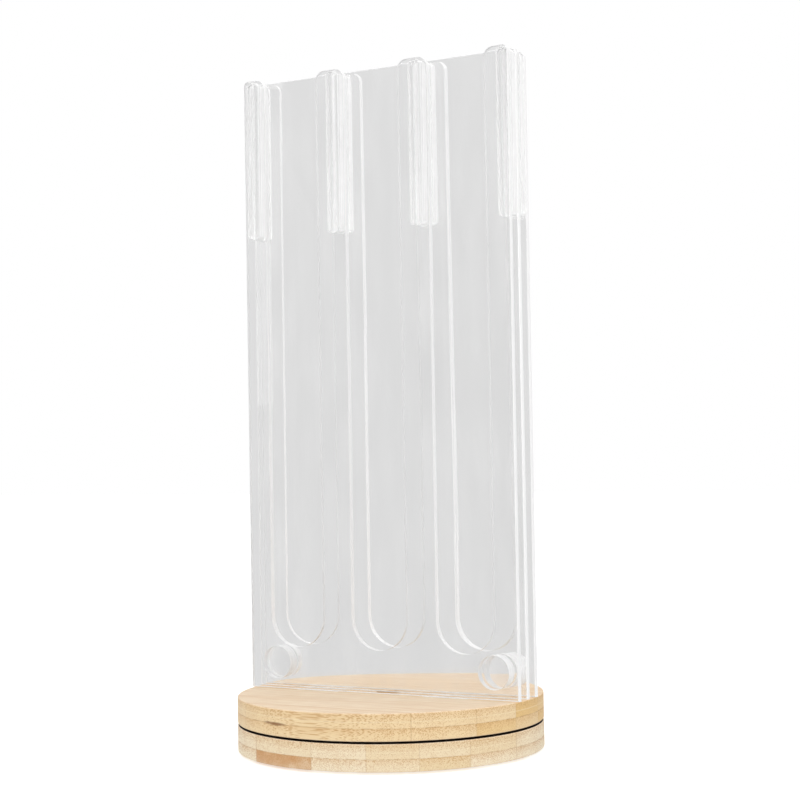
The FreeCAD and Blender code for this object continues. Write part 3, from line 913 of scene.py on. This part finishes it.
@dataclass
class BallBearing:
    """Races, balls, cage and the wood screws that hold the races."""

    steel: Material
    zinc: Material
    ball_steel: Material
    nylon: Material
    ball_count: int = 24
    ball_diameter: float = 4.0
    screw_count: int = 4
    screw_first_angle: float = 45.0
    lower_screw_circle: float = 33.5
    upper_screw_circle: float = 46.5
    screw_length: float = 8.0
    head_radius: float = 2.7
    head_depth: float = 1.5
    core_radius: float = 0.95
    crest_radius: float = 1.28
    thread_pitch: float = 1.2
    tip_length: float = 2.0
    tip_share: float = 0.03                 # of the core, at the very point
    thread_share: float = 0.2               # of the pitch, on each side of the crest
    around: int = 20                        # points round a screw
    rise: float = 0.1                       # between rows of points
    recess_share: float = 0.55              # of the head
    recess_taper: float = 0.5
    recess_depth: float = 0.8

    def ball(self) -> Mesh:
        """Make one ball."""
        shape = bmesh.new()
        bmesh.ops.create_icosphere(shape, subdivisions=3, radius=self.ball_diameter / 2 * MM)
        return mesh_from("ball", shape, 60.0)

    def wood_screw(self, points_up: bool) -> Mesh:
        """Make a countersunk wood screw whose flat head is at z = 0.

        Args:
            points_up: True for a screw whose point is above its head.

        Returns:
            The mesh, with a helical thread and a round, flat-bottomed tapered recess in its head.
        """
        shape = bmesh.new()
        rows: list[list[BMVert]] = []
        height = 0.0
        while height <= self.screw_length - self.rise / 2:
            row = []
            for n in range(self.around):
                angle = 2 * math.pi * n / self.around
                phase = (height / self.thread_pitch + n / self.around) % 1.0
                crest = max(0.0, 1 - abs(phase - 0.5) / self.thread_share)
                radius = self.core_radius + (self.crest_radius - self.core_radius) * crest
                left = self.screw_length - height
                if height < self.head_depth:
                    share = height / self.head_depth
                    radius = self.head_radius + (self.core_radius - self.head_radius) * share
                elif left < self.tip_length:
                    radius *= max(self.tip_share, left / self.tip_length)
                row.append(shape.verts.new((radius * MM * math.cos(angle), radius * MM * math.sin(angle),
                                            -height * MM)))
            rows.append(row)
            height += self.rise
        for low, high in zip(rows, rows[1:]):
            for n in range(self.around):
                after = (n + 1) % self.around
                shape.faces.new((low[n], low[after], high[after], high[n]))
        shape.faces.new(rows[-1])
        inner, sunk = [
            [shape.verts.new((v.co.x * share, v.co.y * share, -depth * MM)) for v in rows[0]]
            for share, depth in ((self.recess_share, 0.0),
                                 (self.recess_share * self.recess_taper, self.recess_depth))]
        for n in range(self.around):
            after = (n + 1) % self.around
            shape.faces.new((rows[0][n], rows[0][after], inner[after], inner[n]))
            shape.faces.new((inner[n], inner[after], sunk[after], sunk[n]))
        shape.faces.new(sunk)
        if points_up:
            bmesh.ops.rotate(shape, verts=shape.verts, matrix=Matrix.Rotation(math.pi, 3, "X"))
        return mesh_from("wood_screw", shape, 40.0)

    def build(self) -> list[Object]:
        """Make the balls and screws, and dress the races and the cage."""
        circle = (size_of("bearing_balls")[0] - self.ball_diameter) / 2
        balls = Copies("ball_ring_balls", self.ball(), (self.ball_steel,), Layout.ROUND_A_CIRCLE,
                       count=self.ball_count, radius=circle, height=middle_of("bearing_balls").z / MM).build()
        pieces = [finish_piece(balls, "ball_ring", ["bearing_balls"])]
        for name, node, body, circle, face, up in (
                ("lower_wood_screws", "lower_race_screws", "base", self.lower_screw_circle, 1, False),
                ("upper_wood_screws", "upper_race_screws", "rack", self.upper_screw_circle, 0, True)):
            screws = Copies(name, self.wood_screw(up), (self.zinc,), Layout.ROUND_A_CIRCLE,
                            count=self.screw_count, radius=circle, first_angle=self.screw_first_angle,
                            height=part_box(node)[face].z / MM).build()
            pieces.append(finish_piece(screws, body, [node]))
        dress("lower_race", self.steel)
        dress("upper_race", self.steel)
        dress("ball_cage", self.nylon)
        return pieces


@dataclass
class Pivot:
    """Shoulder bolt with its bush, washers and nut."""

    brass: Material
    zinc: Material
    nylon: Material

    def build(self) -> None:
        """Dress the pivot's CAD nodes."""
        dress("pivot_bolt", self.brass)
        dress("pivot_bush", self.nylon)
        for node in ("shoulder_washer", "nut_washer", "pivot_nut"):
            dress(node, self.zinc)


@dataclass
class RubberFeet:
    """Round rubber feet let into the lower disc, with a dimple that grips the table."""

    rubber: Material
    edge_round: float = 0.5
    dimple_radius: float = 4.2
    dimple_depth: float = 0.35
    dimple_slope: float = 0.8
    round_steps: int = 4

    def foot(self) -> Mesh:
        """Turn one foot about the origin, its underside at z = 0."""
        width, _, height = size_of("foot_1")
        radius = width / 2
        slope = self.dimple_slope
        profile = [(0.0, self.dimple_depth), (self.dimple_radius * slope, self.dimple_depth * slope),
                   (self.dimple_radius, 0.0)]
        for n in range(self.round_steps + 1):
            angle = math.radians(-90 + 90 * n / self.round_steps)
            profile.append((radius - self.edge_round + self.edge_round * math.cos(angle),
                            self.edge_round + self.edge_round * math.sin(angle)))
        profile += [(radius, height), (0.0, height)]
        return lathe("foot", profile, 48)

    def build(self) -> Object:
        """Lay out the four feet."""
        nodes = [f"foot_{n}" for n in range(1, 5)]
        places = []
        for node in nodes:
            middle = middle_of(node)
            places.append(Vector((middle.x, middle.y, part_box(node)[0].z)))
        piece = Copies("rubber_feet", self.foot(), (self.rubber,), Layout.AT_PLACES, places).build()
        return finish_piece(piece, "base", nodes)


# --- Studio ---
@dataclass(frozen=True)
class SoftBox:
    """One soft area light, aimed at the middle of the rack."""

    name: str
    place: tuple[float, float, float]       # metres
    size: tuple[float, float]               # metres
    power: float                            # watts
    colour: str = "#FFFFFF"

    def build(self, target: Vector) -> Object:
        """Hang the light and turn it to the target."""
        lamp = bpy.data.lights.new(self.name, "AREA")
        lamp.shape = "RECTANGLE"
        lamp.size, lamp.size_y = self.size
        lamp.energy = self.power
        lamp.color = linear(self.colour)[:3]
        light = bpy.data.objects.new(self.name, lamp)
        light.location = self.place
        light.rotation_euler = (target - Vector(self.place)).to_track_quat("-Z", "Y").to_euler()
        light.visible_camera = False
        light.visible_transmission = False
        bpy.context.scene.collection.objects.link(light)
        return light


@dataclass(frozen=True)
class Studio:
    """White sweep, soft lights and the camera.

    What the camera sees directly is white.  What the clear sheet bends or mirrors is the grey of the
    room, so the sheet shows against the white as grey, as it does in a cut-out picture on white.
    """

    room_grey: float = 0.722
    room_top: float = 0.80
    horizon: float = 0.35                   # how far up the room turns from its grey to its top
    paper: float = 0.9
    white: float = 1.0
    floor_glow: float = 0.4
    azimuth: float = 30.04                  # degrees from the front towards +X
    distance: float = 860.2
    height: float = 140.4
    yaw: float = -0.469
    pitch: float = 2.037
    roll: float = -0.972
    lens: float = 78.27
    floor_size: float = 12.0                # metres
    bounces: int = 40                       # enough for light to find its way out of the sheets

    def show(self, tree: NodeTree, to_camera: Node, to_others: Node, end: str) -> None:
        """End a tree in one shader for the camera and another for every other ray."""
        path = add_node(tree, "ShaderNodeLightPath").outputs["Is Camera Ray"]
        mixed = add_node(tree, "ShaderNodeMixShader", {0: path, 1: to_others, 2: to_camera})
        add_node(tree, end, {"Surface": mixed})

    def room(self) -> None:
        """Make the world: white to the camera, soft grey to everything else."""
        world = bpy.data.worlds.new("room")
        bpy.context.scene.world = world
        world.use_nodes = True
        tree = world.node_tree
        tree.nodes.clear()
        way = add_node(tree, "ShaderNodeTexCoord").outputs["Generated"]
        axes = add_node(tree, "ShaderNodeSeparateXYZ", {0: way}).outputs
        grey = add_node(tree, "ShaderNodeMapRange",
                        within(axes["Z"], (0.0, self.horizon, self.room_grey, self.room_top)))
        soft = add_node(tree, "ShaderNodeBackground", {"Color": (1, 1, 1, 1), "Strength": grey})
        plain = add_node(tree, "ShaderNodeBackground", {"Color": (1, 1, 1, 1), "Strength": self.white})
        self.show(tree, plain, soft, "ShaderNodeOutputWorld")

    def floor(self) -> None:
        """Lay a plain white sweep that takes a soft shadow."""
        shape = bmesh.new()
        bmesh.ops.create_grid(shape, x_segments=1, y_segments=1, size=self.floor_size / 2)
        material = bpy.data.materials.new("white_sweep")
        material.use_nodes = True
        tree = material.node_tree
        tree.nodes.clear()
        paper = add_node(tree, "ShaderNodeBsdfDiffuse", {"Color": (self.paper, self.paper, self.paper, 1)})
        glow = add_node(tree, "ShaderNodeEmission", {"Color": (1, 1, 1, 1), "Strength": self.floor_glow})
        lit = add_node(tree, "ShaderNodeAddShader", {0: paper, 1: glow})
        grey = add_node(tree, "ShaderNodeEmission", {"Color": (1, 1, 1, 1), "Strength": self.room_grey})
        self.show(tree, lit, grey, "ShaderNodeOutputMaterial")
        sweep = new_object("white_sweep", mesh_from("white_sweep", shape), (material,))

    def camera(self) -> None:
        """Set the camera up at the height of a hand above the table."""
        turn = math.radians(self.azimuth)
        place = Vector((math.sin(turn) * self.distance, -math.cos(turn) * self.distance, self.height)) * MM
        level = Vector((-math.sin(turn), math.cos(turn), 0))
        forward = Matrix.Rotation(math.radians(self.yaw), 3, "Z") @ level
        tilt = math.radians(self.pitch)
        forward = Vector((forward.x * math.cos(tilt), forward.y * math.cos(tilt), math.sin(tilt)))
        right = forward.cross(Vector((0, 0, 1))).normalized()
        up = right.cross(forward)
        lean = math.radians(self.roll)
        across = math.cos(lean) * right + math.sin(lean) * up
        upwards = -math.sin(lean) * right + math.cos(lean) * up
        data = bpy.data.cameras.new("camera")
        data.lens = self.lens
        data.sensor_width = 36.0
        data.clip_start, data.clip_end = 0.01, 50.0
        camera = bpy.data.objects.new("camera", data)
        facing = Matrix((across, upwards, -forward)).transposed().to_4x4()
        camera.matrix_world = Matrix.Translation(place) @ facing
        bpy.context.scene.collection.objects.link(camera)
        bpy.context.scene.camera = camera

    def lights(self) -> None:
        """Hang the soft lights."""
        target = (CAD_LOW + CAD_HIGH) / 2
        for box in (SoftBox("front", (0.7, -1.8, 0.9), (1.2, 1.0), 12.5),
                    SoftBox("left", (-1.7, -0.7, 0.9), (0.9, 1.2), 4.0),
                    SoftBox("right", (1.7, 0.3, 0.9), (0.9, 1.2), 5.0),
                    SoftBox("top", (0.0, 0.2, 1.9), (1.4, 1.4), 6.5)):
            box.build(target)

    def build(self) -> None:
        """Set the whole studio up."""
        scene = bpy.context.scene
        scene.view_settings.view_transform = "Standard"
        scene.cycles.max_bounces = self.bounces
        scene.cycles.transmission_bounces = self.bounces
        scene.cycles.glossy_bounces = self.bounces
        self.room()
        self.floor()
        self.camera()
        self.lights()


def main() -> None:
    """Build the rack from its sub-assemblies, in order."""
    logging.basicConfig(level=logging.INFO, format="%(name)s: %(message)s")
    Studio().build()
    face = CastAcrylicFace().build()
    cemented = CastAcrylicFace("cemented_acrylic_face", haze=0.18, roughness=0.02, streak_width=0.7,
                               streak_length=400.0, clear_share=0.56, streak_edge=0.05).build()
    cut = LaserCutEdge().build()
    # The strip edges get a weaker painted glow
    strip_cut = LaserCutEdge("cemented_strip_edge", tint="#F6F6F6", clear=0.5, roughness=0.12,
                             painted_edge_glow=0.07, streak_length=300.0, bump_strength=0.4).build()
    steel = TurnedMetal("turned_race_steel", "#B9BABC", "#A3A4A6", 0.3).build()
    zinc = TurnedMetal("bright_zinc_plate", "#C9CCD0", "#B4B8BC", 0.25).build()
    chrome = TurnedMetal("polished_ball_steel", "#D8D9DB", "#CBCCCE", 0.06).build()
    brass = TurnedMetal("yellow_passivated_bolt", "#D2A65A", "#B98A3E", 0.35).build()
    nylon = MouldedPlastic("natural_nylon", "#E9E5D6", "#DDD8C6", 0.5).build()
    rubber = MouldedPlastic("black_rubber", "#1B1B1C", "#232324", 0.75, ior=1.52, grain_size=0.6).build()
    AcrylicPlates(face, cut).build()
    AcrylicSpacers(face, cemented, cut, strip_cut).build()
    BambooDiscs().build()
    BallBearing(steel, zinc, chrome, nylon).build()
    Pivot(brass, zinc, nylon).build()
    RubberFeet(rubber).build()


if __name__ == "__main__":
    main()
